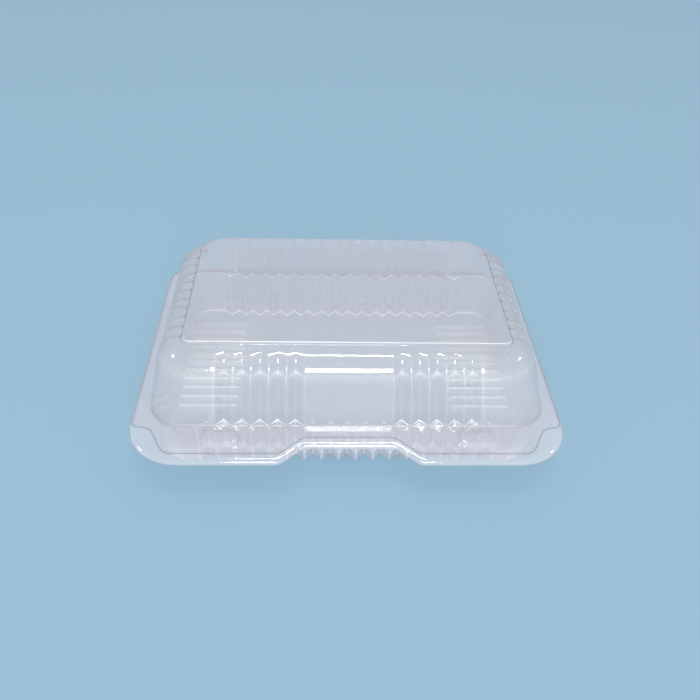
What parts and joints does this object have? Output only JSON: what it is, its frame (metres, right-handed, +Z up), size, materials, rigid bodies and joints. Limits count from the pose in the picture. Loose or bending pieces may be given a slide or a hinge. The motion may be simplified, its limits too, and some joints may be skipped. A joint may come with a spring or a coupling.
{
  "type": "hinged clamshell food container",
  "caption": "Shallow clear plastic clamshell pack: fluted tray and domed lid of one thermoformed sheet, with a rear fold hinge, thumb notch and snap buttons.",
  "frame": {"origin": "under the middle of the closed pack, on the surface that it stands on", "axes": "+X across the pack to the right, -Y towards the front edge with the thumb notch, +Z up"},
  "size_m": [0.244, 0.185, 0.0615],
  "materials": {
    "clear_sheet": "clear glossy thermoformed sheet"
  },
  "bodies": {
    "tray_body": {"base_tray": "clear_sheet"},
    "lid_body": {"lid": "clear_sheet"}
  },
  "joints": [
    {"name": "lid_hinge", "type": "hinge", "parent": "tray_body", "child": "lid_body", "pos_m": [0, 0.0925, 0.0315], "axis": [-1, 0, 0], "range_deg": [0, 180]}
  ]
}
